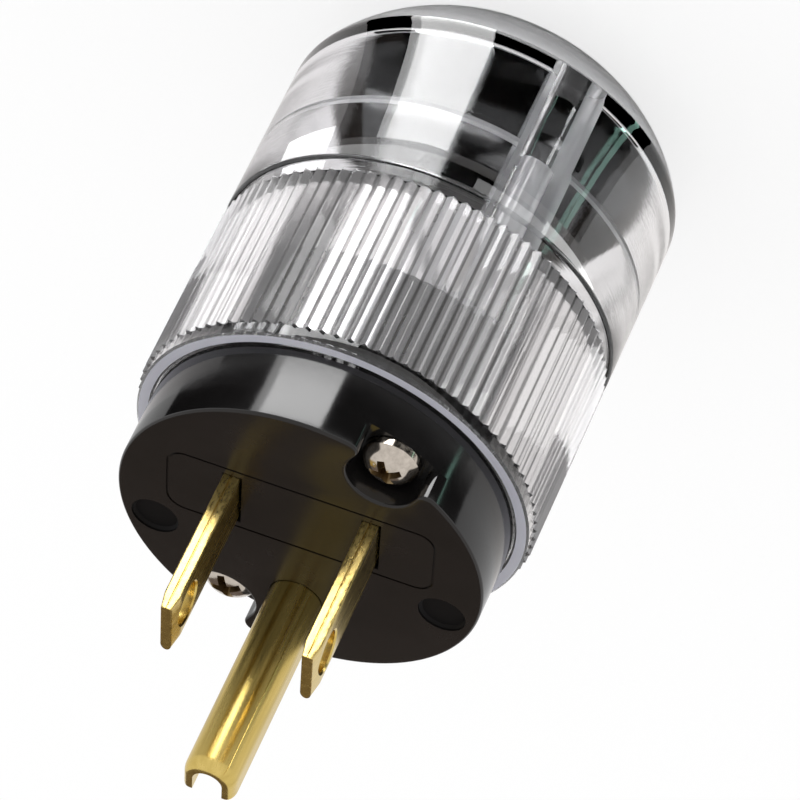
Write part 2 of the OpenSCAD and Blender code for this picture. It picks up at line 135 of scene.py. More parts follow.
class ShaderBoard(Board):
    """Shader tree of one new material.

    Args:
        name: Material name.
    """

    def __init__(self, name: str) -> None:
        """Makes the material and empties its tree."""
        self.material = bpy.data.materials.new(name)
        self.material.use_nodes = True
        super().__init__(self.material.node_tree)
        self.tree.nodes.clear()

    def stretched_noise(self, scale: Triple, detail: float) -> Socket:
        """Noise on Object coordinates, stretched along the axes.

        Args:
            scale: Cells per metre along X, Y and Z.
            detail: Octaves of the noise.

        Returns:
            The noise value.
        """
        coords = self.add("ShaderNodeTexCoord")
        mapping = self.add("ShaderNodeMapping")
        mapping.inputs["Scale"].default_value = scale
        self.link(coords.outputs["Object"], mapping.inputs["Vector"])
        noise = self.add("ShaderNodeTexNoise")
        noise.inputs["Scale"].default_value = 1.0
        noise.inputs["Detail"].default_value = detail
        noise.inputs["Roughness"].default_value = 0.55
        self.link(mapping.outputs["Vector"], noise.inputs["Vector"])
        return noise.outputs["Fac"]

    def spread(self, value: Socket, low: float, high: float) -> Socket:
        """Maps a value of about 0.3 to 0.7 onto a range.

        Args:
            value: Socket to map.
            low: Result at 0.3.
            high: Result at 0.7.

        Returns:
            The mapped value.
        """
        node = self.add("ShaderNodeMapRange")
        limits = {"From Min": 0.3, "From Max": 0.7, "To Min": low, "To Max": high}
        for label, limit in limits.items():
            node.inputs[label].default_value = limit
        self.link(value, node.inputs["Value"])
        return node.outputs["Result"]

    def tint(self, value: Socket, dark: Triple, light: Triple) -> Socket:
        """Blends two colours by a value.

        Args:
            value: Blend factor.
            dark: Colour at 0.
            light: Colour at 1.

        Returns:
            The blended colour.
        """
        node = self.add("ShaderNodeMix", data_type="RGBA")
        first, second = [s for s in node.inputs if s.type == "RGBA"]
        first.default_value = (*dark, 1.0)
        second.default_value = (*light, 1.0)
        self.link(value, node.inputs["Factor"])
        return [s for s in node.outputs if s.type == "RGBA"][0]

    def relief(self, height: Socket, depth: float, strength: float) -> Socket:
        """Bump from a height.

        Args:
            height: Height value.
            depth: Bump distance in metres.
            strength: Share of the bump that is used.

        Returns:
            The bent normal.
        """
        bump = self.add("ShaderNodeBump")
        bump.inputs["Strength"].default_value = strength
        bump.inputs["Distance"].default_value = depth
        self.link(height, bump.inputs["Height"])
        return bump.outputs["Normal"]

    def glow(self, colour: Triple, strength: float) -> Node:
        """Adds an Emission shader.

        Args:
            colour: Colour of the light.
            strength: Strength of the light.

        Returns:
            The shader.
        """
        shader = self.add("ShaderNodeEmission")
        shader.inputs["Color"].default_value = (*colour, 1.0)
        shader.inputs["Strength"].default_value = strength
        return shader

    def surface(self, shader: Node) -> Material:
        """Sends a shader to the material's output.

        Args:
            shader: Last shader of the tree.

        Returns:
            The finished material.
        """
        output = self.add("ShaderNodeOutputMaterial")
        self.link(shader.outputs[0], output.inputs["Surface"])
        return self.material


# Finishes


@dataclass(frozen=True)
class Finish:
    """What every finish has.

    Attributes:
        name: Material name.
        dark: Colour in the hollows or streaks.
        light: Colour between them.
        rough: Lowest and highest roughness.
    """

    name: str
    dark: Triple
    light: Triple
    rough: Point2

    def start(self, scale: Triple, detail: float) -> tuple[ShaderBoard, Node, Socket]:
        """Begins a material whose colour and roughness follow a noise.

        Args:
            scale: Cells per metre along X, Y and Z.
            detail: Octaves of the noise.

        Returns:
            The tree, its shader and the noise value.
        """
        board = ShaderBoard(self.name)
        shader = board.add("ShaderNodeBsdfPrincipled")
        noise = board.stretched_noise(scale, detail)
        board.link(board.tint(noise, self.dark, self.light), shader.inputs["Base Color"])
        board.link(board.spread(noise, *self.rough), shader.inputs["Roughness"])
        return board, shader, noise


@dataclass(frozen=True)
class ClearPlastic(Finish):
    """Clear polycarbonate.

    Attributes:
        marks: Depth in metres of the fine turning marks round the axis.
        frost: Share of the light that the surface scatters.
        clouds: Cells per metre of the cloudy tint.
        lathe_lines: Cells per metre of the turning marks.
        bending: Index of refraction.
    """

    marks: float = 0.0
    frost: float = 0.0
    clouds: float = 160.0
    lathe_lines: Triple = (60.0, 60.0, 9000.0)
    bending: float = 1.56

    def make(self) -> Material:
        """Builds the material.

        Returns:
            The material.
        """
        board, shader, _ = self.start((self.clouds,) * 3, 2.0)
        shader.inputs["IOR"].default_value = self.bending
        shader.inputs["Transmission Weight"].default_value = 1.0 - self.frost
        if self.marks > 0.0:
            lines = board.stretched_noise(self.lathe_lines, 3.0)
            board.link(board.relief(lines, self.marks, 0.6), shader.inputs["Normal"])
        return board.surface(shader)


@dataclass(frozen=True)
class MouldedPlastic(Finish):
    """Opaque moulded plastic.

    Attributes:
        grain: Grains per metre.
        depth: Grain depth in metres.
        shine: Strength of the mirror-like share; 0.5 is that of common plastic.
        clouds: Cells per metre of the cloudy tint.
        bending: Index of refraction.
    """

    grain: float
    depth: float
    shine: float = 0.5
    clouds: float = 220.0
    bending: float = 1.5

    def make(self) -> Material:
        """Builds the material.

        Returns:
            The material.
        """
        board, shader, _ = self.start((self.clouds,) * 3, 4.0)
        shader.inputs["IOR"].default_value = self.bending
        shader.inputs["Specular IOR Level"].default_value = self.shine
        grain = board.stretched_noise((self.grain,) * 3, 2.0)
        board.link(board.relief(grain, self.depth, 0.5), shader.inputs["Normal"])
        return board.surface(shader)


@dataclass(frozen=True)
class Metal(Finish):
    """Bare or plated metal with drawn streaks.

    Attributes:
        streak: Cells per metre of the streaks along X, Y and Z.
        depth: Streak depth in metres.
    """

    streak: Triple
    depth: float

    def make(self) -> Material:
        """Builds the material.

        Returns:
            The material.
        """
        board, shader, streaks = self.start(self.streak, 3.0)
        shader.inputs["Metallic"].default_value = 1.0
        board.link(board.relief(streaks, self.depth, 0.5), shader.inputs["Normal"])
        return board.surface(shader)


DRAWN = (1400.0, 1400.0, 120.0)
TORN = (5200.0, 5200.0, 1600.0)
PLATED = (1800.0, 1800.0, 1800.0)
ROLLED = (600.0, 600.0, 600.0)

CLEAR = ClearPlastic("clear polycarbonate", (0.97, 0.975, 0.99), (0.985, 0.988, 1.0), (0.0, 0.012))
TURNED = ClearPlastic(
    "clear polycarbonate, turned bore", (0.97, 0.975, 0.99), (0.985, 0.988, 1.0), (0.01, 0.03), 0.000012
)
# Frosted finish of the screw columns, the bore's step and the band over it; on the step and band it is a
# painted highlight.
HAZED = ClearPlastic(
    "clear polycarbonate, moulded columns", (0.86, 0.86, 0.88), (0.95, 0.95, 0.96), (0.1, 0.2), frost=0.5
)
RIBBED = ClearPlastic(
    "clear polycarbonate, ribbed grip", (0.90, 0.89, 0.90), (0.97, 0.96, 0.97), (0.02, 0.06), frost=0.2
)
# Dark tint on the ribs' root facets: painted shade for the dark lines in the valleys between the ribs.
SHADED_ROOTS = ClearPlastic(
    "clear polycarbonate, rib roots with painted shade", (0.22, 0.22, 0.22), (0.34, 0.33, 0.33), (0.2, 0.3), frost=0.3
)
FROSTED = ClearPlastic(
    "clear polycarbonate, frosted rim", (0.70, 0.70, 0.80), (0.82, 0.82, 0.90), (0.4, 0.55), frost=0.7
)
GLOSS = MouldedPlastic(
    "glossy black", (0.004, 0.004, 0.004), (0.009, 0.008, 0.008), (0.08, 0.13), 1400.0, 0.000004
)
SATIN = MouldedPlastic(
    "satin black", (0.006, 0.005, 0.004), (0.012, 0.009, 0.008), (0.2, 0.28), 7000.0, 0.000006, 0.35
)
SUNK = MouldedPlastic(
    "matt black, sunk discs", (0.003,) * 3, (0.006, 0.005, 0.005), (0.5, 0.6), 7000.0, 0.000006, 0.1
)
BRASS = Metal("satin brass", (0.46, 0.33, 0.08), (0.78, 0.59, 0.20), (0.2, 0.3), DRAWN, 0.000003)
SHEARED = Metal("sheared brass", (0.36, 0.25, 0.06), (0.84, 0.65, 0.26), (0.22, 0.38), TORN, 0.000007)
NICKEL = Metal("nickel plate", (0.35, 0.31, 0.26), (0.66, 0.59, 0.52), (0.1, 0.22), PLATED, 0.00001)
# Darker brown nickel for the screws' cross recesses: painted shade in the recesses.
RECESS_SHADE = Metal(
    "nickel plate, painted recess shade", (0.09, 0.06, 0.025), (0.36, 0.27, 0.15), (0.25, 0.45), PLATED, 0.00001
)
GREEN = Metal("green plate", (0.03, 0.16, 0.07), (0.08, 0.34, 0.16), (0.2, 0.35), PLATED, 0.00001)
ZINC = Metal("zinc plate", (0.50, 0.51, 0.53), (0.74, 0.75, 0.77), (0.2, 0.36), ROLLED, 0.00001)


@functools.cache
def material_of(finish: Finish) -> Material:
    """Gives the material of a finish, made on first use."""
    return finish.make()


# Mesh helpers


def new_object(name: str, mesh: bpy.types.Mesh) -> Piece:
    """Links a mesh into the scene under a name.

    Args:
        name: Object name.
        mesh: Its mesh.

    Returns:
        The new object.
    """
    piece = bpy.data.objects.new(name, mesh)
    bpy.context.scene.collection.objects.link(piece)
    return piece


def ring_mesh(name: str, rings: Sequence[Ring], closed: bool) -> Piece:
    """Joins rings of points, in millimetres, with quads.

    Args:
        name: Object name.
        rings: Rings with the same number of points each.
        closed: True joins the last ring to the first; False caps both ends.

    Returns:
        The new object.
    """
    build = bmesh.new()
    rows = [[build.verts.new((x * MM, y * MM, z * MM)) for x, y, z in ring] for ring in rings]
    count = len(rows[0])
    pairs = list(zip(rows, rows[1:] + rows[:1])) if closed else list(zip(rows, rows[1:]))
    for low, high in pairs:
        for i in range(count):
            j = (i + 1) % count
            build.faces.new((low[i], low[j], high[j], high[i]))
    if not closed:
        build.faces.new(list(reversed(rows[0])))
        build.faces.new(rows[-1])
    mesh = bpy.data.meshes.new(name)
    build.to_mesh(mesh)
    build.free()
    return new_object(name, mesh)


def clean(piece: Piece, sharp: float = 32.0, merge: float = 2e-6) -> Piece:
    """Merges doubles, turns faces outwards and shades smooth with sharp edges.

    Args:
        piece: Object to clean.
        sharp: Angle in degrees from which an edge stays sharp.
        merge: Distance in metres under which points merge.

    Returns:
        The same object.
    """
    build = bmesh.new()
    build.from_mesh(piece.data)
    bmesh.ops.remove_doubles(build, verts=build.verts, dist=merge)
    bmesh.ops.dissolve_degenerate(build, edges=build.edges, dist=merge)
    bmesh.ops.recalc_face_normals(build, faces=build.faces)
    build.to_mesh(piece.data)
    build.free()
    piece.data.shade_smooth()
    piece.data.set_sharp_from_angle(angle=math.radians(sharp))
    return piece


def baked(piece: Piece) -> Piece:
    """Replaces a piece's mesh by its evaluated one and drops its modifiers.

    Args:
        piece: Object with live modifiers.

    Returns:
        The same object with a plain mesh.
    """
    graph = bpy.context.evaluated_depsgraph_get()
    mesh = bpy.data.meshes.new_from_object(piece.evaluated_get(graph))
    piece.modifiers.clear()
    piece.data = mesh
    return piece


class Merge(Enum):
    """Ways to combine two closed meshes."""

    CUT = "DIFFERENCE"
    JOIN = "UNION"


def combine(piece: Piece, tools: Sequence[Piece], way: Merge = Merge.CUT) -> None:
    """Cuts tools out of a piece, or joins them to it, and removes them.

    Args:
        piece: Object that is changed.
        tools: Closed objects.
        way: How they are combined.
    """
    for tool in tools:
        modifier = piece.modifiers.new("combine", "BOOLEAN")
        modifier.operation = way.value
        modifier.solver = "EXACT"
        modifier.object = clean(tool)
        baked(piece)
        bpy.data.objects.remove(tool)


def rect(x0: float, y0: float, x1: float, y1: float) -> list[Point2]:
    """Corners of a rectangle, anticlockwise."""
    return [(x0, y0), (x1, y0), (x1, y1), (x0, y1)]


def lift(outline: Sequence[Point2], z: float) -> Ring:
    """Sets a level outline at a height."""
    return [(x, y, z) for x, y in outline]


def lathe(name: str, profile: Sequence[Point2], centre: Point2 = (0.0, 0.0), count: int = 32) -> Piece:
    """Turns a profile of radius and height into a closed solid.

    Args:
        name: Object name.
        profile: Radius and height from the lower end to the upper end.
        centre: Place of the axis.
        count: Points round the axis.

    Returns:
        The new object.
    """
    cx, cy = centre
    step = 2 * math.pi / count
    circle = [(math.cos(i * step), math.sin(i * step)) for i in range(count)]
    rings = [lift([(cx + r * c, cy + r * s) for c, s in circle], z) for r, z in profile]
    return ring_mesh(name, rings, False)


def arc(cx: float, cy: float, radius: float, start: float, end: float, steps: int) -> list[Point2]:
    """Points of an arc, ends included.

    Args:
        cx: Centre, first coordinate.
        cy: Centre, second coordinate.
        radius: Radius of the arc.
        start: First angle in degrees.
        end: Last angle in degrees.
        steps: Number of steps.

    Returns:
        The points.
    """
    angles = [math.radians(start + (end - start) * i / steps) for i in range(steps + 1)]
    return [(cx + radius * math.cos(a), cy + radius * math.sin(a)) for a in angles]


def prism(name: str, outline: Sequence[Point2], low: float, high: float) -> Piece:
    """Extrudes an anticlockwise outline between two heights."""
    return ring_mesh(name, [lift(outline, low), lift(outline, high)], False)


def inset(outline: Sequence[Point2], distance: float) -> list[Point2]:
    """Moves an anticlockwise closed outline inwards.

    Args:
        outline: Points of the outline.
        distance: How far to move.

    Returns:
        The moved points.
    """
    moved = []
    count = len(outline)
    for i, (x, y) in enumerate(outline):
        ax, ay = outline[i - 1]
        bx, by = outline[(i + 1) % count]
        tangent = Vector((bx - ax, by - ay))
        tangent.normalize()
        moved.append((x - tangent.y * distance, y + tangent.x * distance))
    return moved


def settle(piece: Piece, node: str, finishes: Sequence[Finish]) -> Piece:
    """Gives a piece its finishes and ties it to the frame.

    Args:
        piece: Finished object.
        node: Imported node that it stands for.
        finishes: Finishes in the order of the mesh's material indices.

    Returns:
        The same object.
    """
    last = len(finishes) - 1
    places = [min(face.material_index, last) for face in piece.data.polygons]
    piece.data.materials.clear()
    for finish in finishes:
        piece.data.materials.append(material_of(finish))
    piece.data.polygons.foreach_set("material_index", places)
    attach(piece, BODY)
    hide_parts(node)
    LOG.info("%s: %d faces for %s", piece.name, len(piece.data.polygons), node)
    return piece


# Geometry node trees


class Input(Enum):
    """Kinds of a tree's inputs."""

    NUMBER = "NodeSocketFloat"
    MATERIAL = "NodeSocketMaterial"
    OBJECT = "NodeSocketObject"


class GeometryBoard(Board):
    """Geometry node tree with named inputs.

    Args:
        name: Name of the tree.
    """

    def __init__(self, name: str) -> None:
        """Makes the tree with one geometry going in and one coming out."""
        super().__init__(bpy.data.node_groups.new(name, "GeometryNodeTree"))
        for way in ("INPUT", "OUTPUT"):
            self.tree.interface.new_socket("Geometry", in_out=way, socket_type="NodeSocketGeometry")
        self.start = self.add("NodeGroupInput")
        self.end = self.add("NodeGroupOutput")
        self.sockets: dict[str, str] = {}

    def ask(self, label: str, kind: Input) -> Socket:
        """Adds a named input.

        Args:
            label: Name of the input.
            kind: What it holds.

        Returns:
            Its socket inside the tree.
        """
        socket = self.tree.interface.new_socket(label, in_out="INPUT", socket_type=kind.value)
        self.sockets[label] = socket.identifier
        return self.start.outputs[label]

    def close(self, geometry: Socket) -> None:
        """Ends the tree: makes instances real and sets the material named Finish.

        Args:
            geometry: What the tree has made so far.
        """
        real = self.add("GeometryNodeRealizeInstances")
        self.link(geometry, real.inputs[0])
        paint = self.add("GeometryNodeSetMaterial")
        self.link(real.outputs[0], paint.inputs["Geometry"])
        self.link(self.ask("Finish", Input.MATERIAL), paint.inputs["Material"])
        self.link(paint.outputs[0], self.end.inputs[0])

    def use(self, piece: Piece, values: dict[str, object]) -> Piece:
        """Runs the tree on a piece and keeps the result as a plain mesh.

        Args:
            piece: Object that gets the tree.
            values: Values of the named inputs.

        Returns:
            The same object.
        """
        modifier = piece.modifiers.new(self.tree.name, "NODES")
        modifier.node_group = self.tree
        for label, value in values.items():
            modifier[self.sockets[label]] = value
        return baked(piece)


def ridge_tree(name: str, mark: str, labels: tuple[str, str, str], climbs: bool) -> GeometryBoard:
    """Tree that moves marked points onto V-shaped ridges round the axis.

    Args:
        name: Name of the tree.
        mark: Attribute of the points that it moves.
        labels: Names of its numbers: ridges per turn or rise per turn, lowest radius, depth.
        climbs: True winds one ridge up the axis, as a thread; False stands them up, as ribs.

    Returns:
        The tree, with those inputs and Finish.
    """
    board = GeometryBoard(name)
    for label in labels:
        board.ask(label, Input.NUMBER)
    repeat, root, depth = (board.start.outputs[label] for label in labels)
    split = board.add("ShaderNodeSeparateXYZ")
    board.link(board.add("GeometryNodeInputPosition").outputs[0], split.inputs[0])
    x, y, z = split.outputs
    angle = board.math("ARCTAN2", y, x)
    turns = board.math("DIVIDE", angle, 2 * math.pi)
    if climbs:
        count = board.math("SUBTRACT", board.math("DIVIDE", z, repeat), turns)
    else:
        count = board.math("MULTIPLY", turns, repeat)
    phase = board.math("FRACT", board.math("ADD", count, WHOLE_TURNS))
    wave = board.math("ABSOLUTE", board.math("SUBTRACT", board.math("MULTIPLY", phase, 2.0), 1.0))
    radius = board.math("ADD", root, board.math("MULTIPLY", wave, depth))
    place = board.add("ShaderNodeCombineXYZ")
    board.link(board.math("MULTIPLY", radius, board.math("COSINE", angle)), place.inputs[0])
    board.link(board.math("MULTIPLY", radius, board.math("SINE", angle)), place.inputs[1])
    board.link(z, place.inputs[2])
    marked = board.add("GeometryNodeInputNamedAttribute", data_type="BOOLEAN")
    marked.inputs["Name"].default_value = mark
    move = board.add("GeometryNodeSetPosition")
    board.link(board.start.outputs["Geometry"], move.inputs["Geometry"])
    board.link(marked.outputs["Attribute"], move.inputs["Selection"])
    board.link(place.outputs[0], move.inputs["Position"])
    board.close(move.outputs[0])
    return board


def scatter_tree() -> GeometryBoard:
    """Tree that sets one shape on each point of the piece's mesh.

    Returns:
        The tree, with inputs Shape and Finish.
    """
    board = GeometryBoard("shape on points")
    shape = board.add("GeometryNodeObjectInfo")
    board.link(board.ask("Shape", Input.OBJECT), shape.inputs["Object"])
    place = board.add("GeometryNodeInstanceOnPoints")
    board.link(board.start.outputs["Geometry"], place.inputs["Points"])
    board.link(shape.outputs["Geometry"], place.inputs["Instance"])
    board.close(place.outputs[0])
    return board


def mark_points(piece: Piece, name: str, test: Callable[[Vector], bool]) -> None:
    """Marks points of a mesh in a true or false attribute.

    Args:
        piece: Object to mark.
        name: Attribute name.
        test: Says for a point in metres whether it is marked.
    """
    layer = piece.data.attributes.new(name, "BOOLEAN", "POINT")
    for point, entry in zip(piece.data.vertices, layer.data):
        entry.value = test(point.co)


# Sub-assemblies


@dataclass
class ScrewPair:
    """Places of the two assembly screws."""

    circle_r: float = 14.4
    angle: float = 61.0

    def turns(self) -> Point2:
        """Gives the azimuths of both screws in degrees."""
        return self.angle, self.angle + 180.0

    def centres(self) -> list[Point2]:
        """Gives both screw axes."""
        turns = [math.radians(turn) for turn in self.turns()]
        return [(self.circle_r * math.cos(a), self.circle_r * math.sin(a)) for a in turns]


class Skin(IntEnum):
    """Surfaces of the housing, in the order of its finishes."""

    PLAIN = 0
    TURNED = 1
    RIM = 2
    HAZED = 3
    # Root facets of the ribs, which carry painted shade.
    RIB = 4
    ROOT = 5


@dataclass
class HousingShell:
    """Clear housing: rounded rear, barrel, neck, ribbed grip, collar and two screw columns."""

    shell_r: float = 18.6
    shoulder_z: float = 7.5
    shoulder_curve: float = 16.0
    shoulder_angle: float = 23.4
    wall: float = 2.4
    bore_step: float = 0.75
    step_z: float = 16.0
    step_h: float = 0.75
    # Height of the frosted band over the bore's step: a painted highlight for the bright line at the
    # step.
    step_highlight_h: float = 0.45
    inlet_r: float = 5.5
    neck_bottom: float = 24.4
    neck_depth: float = 0.35
    rib_bottom: float = 25.7
    rib_top: float = 43.45
    rim_z: float = 44.75
    rim_chamfer: float = 0.2
    collar_r: float = 18.24
    rib_count: int = 90
    rib_depth: float = 0.65
    # Share of the pitch from a crest at which a root facet begins; root facets carry painted shade.
    rib_root: float = 0.39
    column_r: float = 2.35
    column_low: float = 6.5
    column_high: float = 33.7
    pilot_r: float = 1.45
    pilot_low: float = 16.7
    crest_share: float = 0.07
    column_shares: tuple[float, ...] = (0.0, 0.4, 0.7, 0.9, 0.97, 0.999)
    column_reach: float = 1.4
    inlet_edge: float = 0.3
    barrel_rows: Triple = (12.0, 16.0, 20.0)
    sharp: float = 24.0
    skin_play: float = 0.01
    screws: ScrewPair = field(default_factory=ScrewPair)

    def angles(self) -> list[float]:
        """Gives the angles, in degrees, at which every ring has a point.

        Returns:
            Angles at the ribs' crests, flanks and roots and at the columns' edges.
        """
        pitch = 360.0 / self.rib_count
        crossing = 0.5 * pitch * (self.shell_r - self.collar_r) / self.rib_depth
        shares = (0.0, self.crest_share * pitch, crossing, self.rib_root * pitch, 0.5 * pitch)
        marks = {round(i * pitch + s, 5) for i in range(self.rib_count) for s in shares}
        marks |= {round(i * pitch - s, 5) % 360.0 for i in range(self.rib_count) for s in shares}
        edge = self.column_edge()
        offs = [share * edge for share in self.column_shares] + [edge + 0.01]
        for turn in self.screws.turns():
            for off in offs:
                marks |= {round((turn + off) % 360.0, 5), round((turn - off) % 360.0, 5)}
        kept: list[float] = []
        for mark in sorted(marks):
            if not kept or mark - kept[-1] > 0.004:
                kept.append(mark)
        return kept

    def column_edge(self) -> float:
        """Gives the half angle in degrees that a screw column takes up."""
        return math.degrees(math.asin(self.column_r / self.screws.circle_r))

    def column_radius(self, bore: float, angle: float) -> float:
        """Gives the bore's radius at an angle, with the screw columns standing in it.

        Args:
            bore: Radius beside the columns.
            angle: Angle in degrees.

        Returns:
            The radius.
        """
        edge = math.radians(self.column_edge())
        for turn in self.screws.turns():
            off = math.radians((angle - turn + 180.0) % 360.0 - 180.0)
            if abs(off) <= edge:
                side = self.screws.circle_r * math.sin(off)
                depth = math.sqrt(max(self.column_r**2 - side**2, 0.0))
                return min(bore, self.screws.circle_r * math.cos(off) - depth)
        return bore

    def runs(self) -> list[tuple[list[Point2], bool]]:
        """Gives the section from the inlet up the outside and down the inside.

        Returns:
            Runs of rings, as height and radius, with True for the run that has the columns.
        """
        rear_bore = self.shell_r - self.wall
        bore = rear_bore + self.bore_step
        root = self.shell_r - self.rib_depth
        neck_r, neck_z = self.shell_r - self.neck_depth, self.neck_bottom - self.neck_depth
        rim_low, step_top = self.rim_z - self.rim_chamfer, self.step_z + self.step_h
        outside = [(self.inlet_edge, self.inlet_r), (0.0, self.inlet_r + self.inlet_edge)]
        outside += self.shoulder(0.0, self.shell_r, 0.0)
        outside += [(z, self.shell_r) for z in self.barrel_rows]
        outside += [(z, r) for r, z in arc(neck_r, neck_z, self.neck_depth, 0.0, 90.0, 6)]
        outside += [(self.neck_bottom + 0.3, neck_r), (self.rib_bottom, neck_r), (self.rib_bottom, root)]
        outside += [(self.rib_top, root), (self.rib_top, self.collar_r), (rim_low, self.collar_r)]
        outside += [(self.rim_z, self.collar_r - self.rim_chamfer), (self.rim_z, bore + self.rim_chamfer)]
        outside += [(rim_low, bore), (self.column_high, bore)]
        turn = list(reversed(self.shoulder(self.wall, rear_bore, self.wall)))
        foot = (self.column_low, self.shoulder_radius(self.column_low, self.wall))
        inside = [(self.column_high, bore), (step_top + self.step_highlight_h, bore), (step_top, bore)]
        inside += [(self.step_z, rear_bore)] + [(z, r) for z, r in turn if z > self.column_low] + [foot]
        rear = [foot] + [(z, r) for z, r in turn if z < self.column_low] + [(self.wall, self.inlet_r)]
        return [(outside, False), (inside, True), (rear, False)]

    def shoulder_radius(self, z: float, depth: float) -> float:
        """Gives the radius of the shoulder's curve at a height.

        Args:
            z: Height.
            depth: How far the curve lies under the outside.

        Returns:
            The radius.
        """
        a = math.radians(self.shoulder_angle)
        rise = self.shoulder_z + self.shoulder_curve * math.sin(a) - z
        reach = math.sqrt((self.shoulder_curve - depth) ** 2 - rise**2)
        return self.shell_r - self.shoulder_curve * math.cos(a) + reach

    def shoulder(self, low: float, end_r: float, depth: float) -> list[Point2]:
        """Gives the shoulder from its lower end to its edge, which is slightly rounded.

        Args:
            low: Height of the lower end.
            end_r: Radius of the barrel or bore above the edge.
            depth: How far the curve lies under the outside.

        Returns:
            Height and radius of each ring.
        """
        top = low
        while self.shoulder_radius(top, depth) < end_r:
            top += 0.01
        soft = 0.5
        steps = 20
        rows = [low + (top - soft - low) * i / steps for i in range(steps + 1)]
        points = [(z, self.shoulder_radius(z, depth)) for z in rows]
        start, edge, end = points[-1], (top, end_r), (top + soft, end_r)
        for i in range(1, 7):
            t = i / 6.0
            corners = zip(start, edge, end)
            points.append(tuple((1 - t) ** 2 * a + 2 * t * (1 - t) * b + t**2 * c for a, b, c in corners))
        return points

    def build(self, grip: GeometryBoard) -> Piece:
        """Builds the housing as one closed mesh.

        Args:
            grip: Tree that raises the ribs.

        Returns:
            The finished object, with material indices in the order of its finishes.
        """
        angles = self.angles()
        rings: list[Ring] = []
        for rows, columned in self.runs():
            for z, radius in rows:
                ring: Ring = []
                for angle in angles:
                    r = self.column_radius(radius, angle) if columned else radius
                    a = math.radians(angle)
                    ring.append((r * math.cos(a), r * math.sin(a), z))
                rings.append(ring)
        piece = ring_mesh("housing_shell_clear", rings, True)
        root = (self.shell_r - self.rib_depth) * MM
        low, high = (self.rib_bottom - 0.001) * MM, (self.rib_top + 0.001) * MM
        mark_points(
            piece,
            "grip",
            lambda co: low <= co.z <= high and abs(math.hypot(co.x, co.y) - root) < 1e-6,
        )
        grip.use(
            piece,
            {
                "Rib Count": float(self.rib_count),
                "Root Radius": root,
                "Rib Depth": self.rib_depth * MM,
                "Finish": material_of(CLEAR),
            },
        )
        clean(piece, self.sharp)
        pilot = [(self.pilot_r, self.pilot_low), (self.pilot_r, self.column_high + 1.0)]
        combine(piece, [lathe("pilot", pilot, centre, count=40) for centre in self.screws.centres()])
        clean(piece, self.sharp)
        for face in piece.data.polygons:
            face.material_index = int(self.skin(face.center / MM, face.normal))
        return settle(piece, "housing_shell", (CLEAR, TURNED, FROSTED, HAZED, RIBBED, SHADED_ROOTS))

    def skin(self, place: Vector, normal: Vector) -> Skin:
        """Tells which surface of the housing a face belongs to.

        Args:
            place: Middle of the face, in millimetres.
            normal: Direction that the face looks in.

        Returns:
            The surface.
        """
        r = math.hypot(place.x, place.y)
        inside = r < self.shell_r - self.wall + self.bore_step + self.skin_play
        if place.z > self.rim_z - self.skin_play:
            return Skin.RIM
        if inside and (self.on_column(place, normal) or self.on_step(place.z)):
            return Skin.HAZED
        if inside and self.shoulder_z + 1.0 < place.z < self.rib_bottom and abs(normal.z) < 0.2:
            return Skin.TURNED
        ribbed = r > self.shell_r - self.rib_depth - self.skin_play
        if ribbed and self.rib_bottom < place.z < self.rib_top:
            turn = math.degrees(math.atan2(place.y, place.x)) * self.rib_count / 360.0
            # Faces in the valleys take the dark tint: painted shade.
            return Skin.ROOT if abs(turn - round(turn)) > self.rib_root else Skin.RIB
        return Skin.PLAIN

    def on_step(self, z: float) -> bool:
        """Tells whether a height is that of the bore's step or of the band over it, both frosted as a
        painted highlight.
        """
        return self.step_z < z < self.step_z + self.step_h + self.step_highlight_h

    def on_column(self, place: Vector, normal: Vector) -> bool:
        """Tells whether a face is the side of a screw column or the wall of its pilot hole.

        Args:
            place: Middle of the face, in millimetres.
            normal: Direction that the face looks in.

        Returns:
            True for a column's side and for a pilot hole.
        """
        if not self.column_low < place.z < self.column_high or abs(normal.z) > 0.5:
            return False
        near = min(math.hypot(place.x - x, place.y - y) for x, y in self.screws.centres())
        out = Vector((place.x, place.y, 0.0)).normalized()
        beside = near < self.column_reach * self.column_r and abs(normal.dot(out)) < 0.75
        return beside or near < self.pilot_r + 0.05


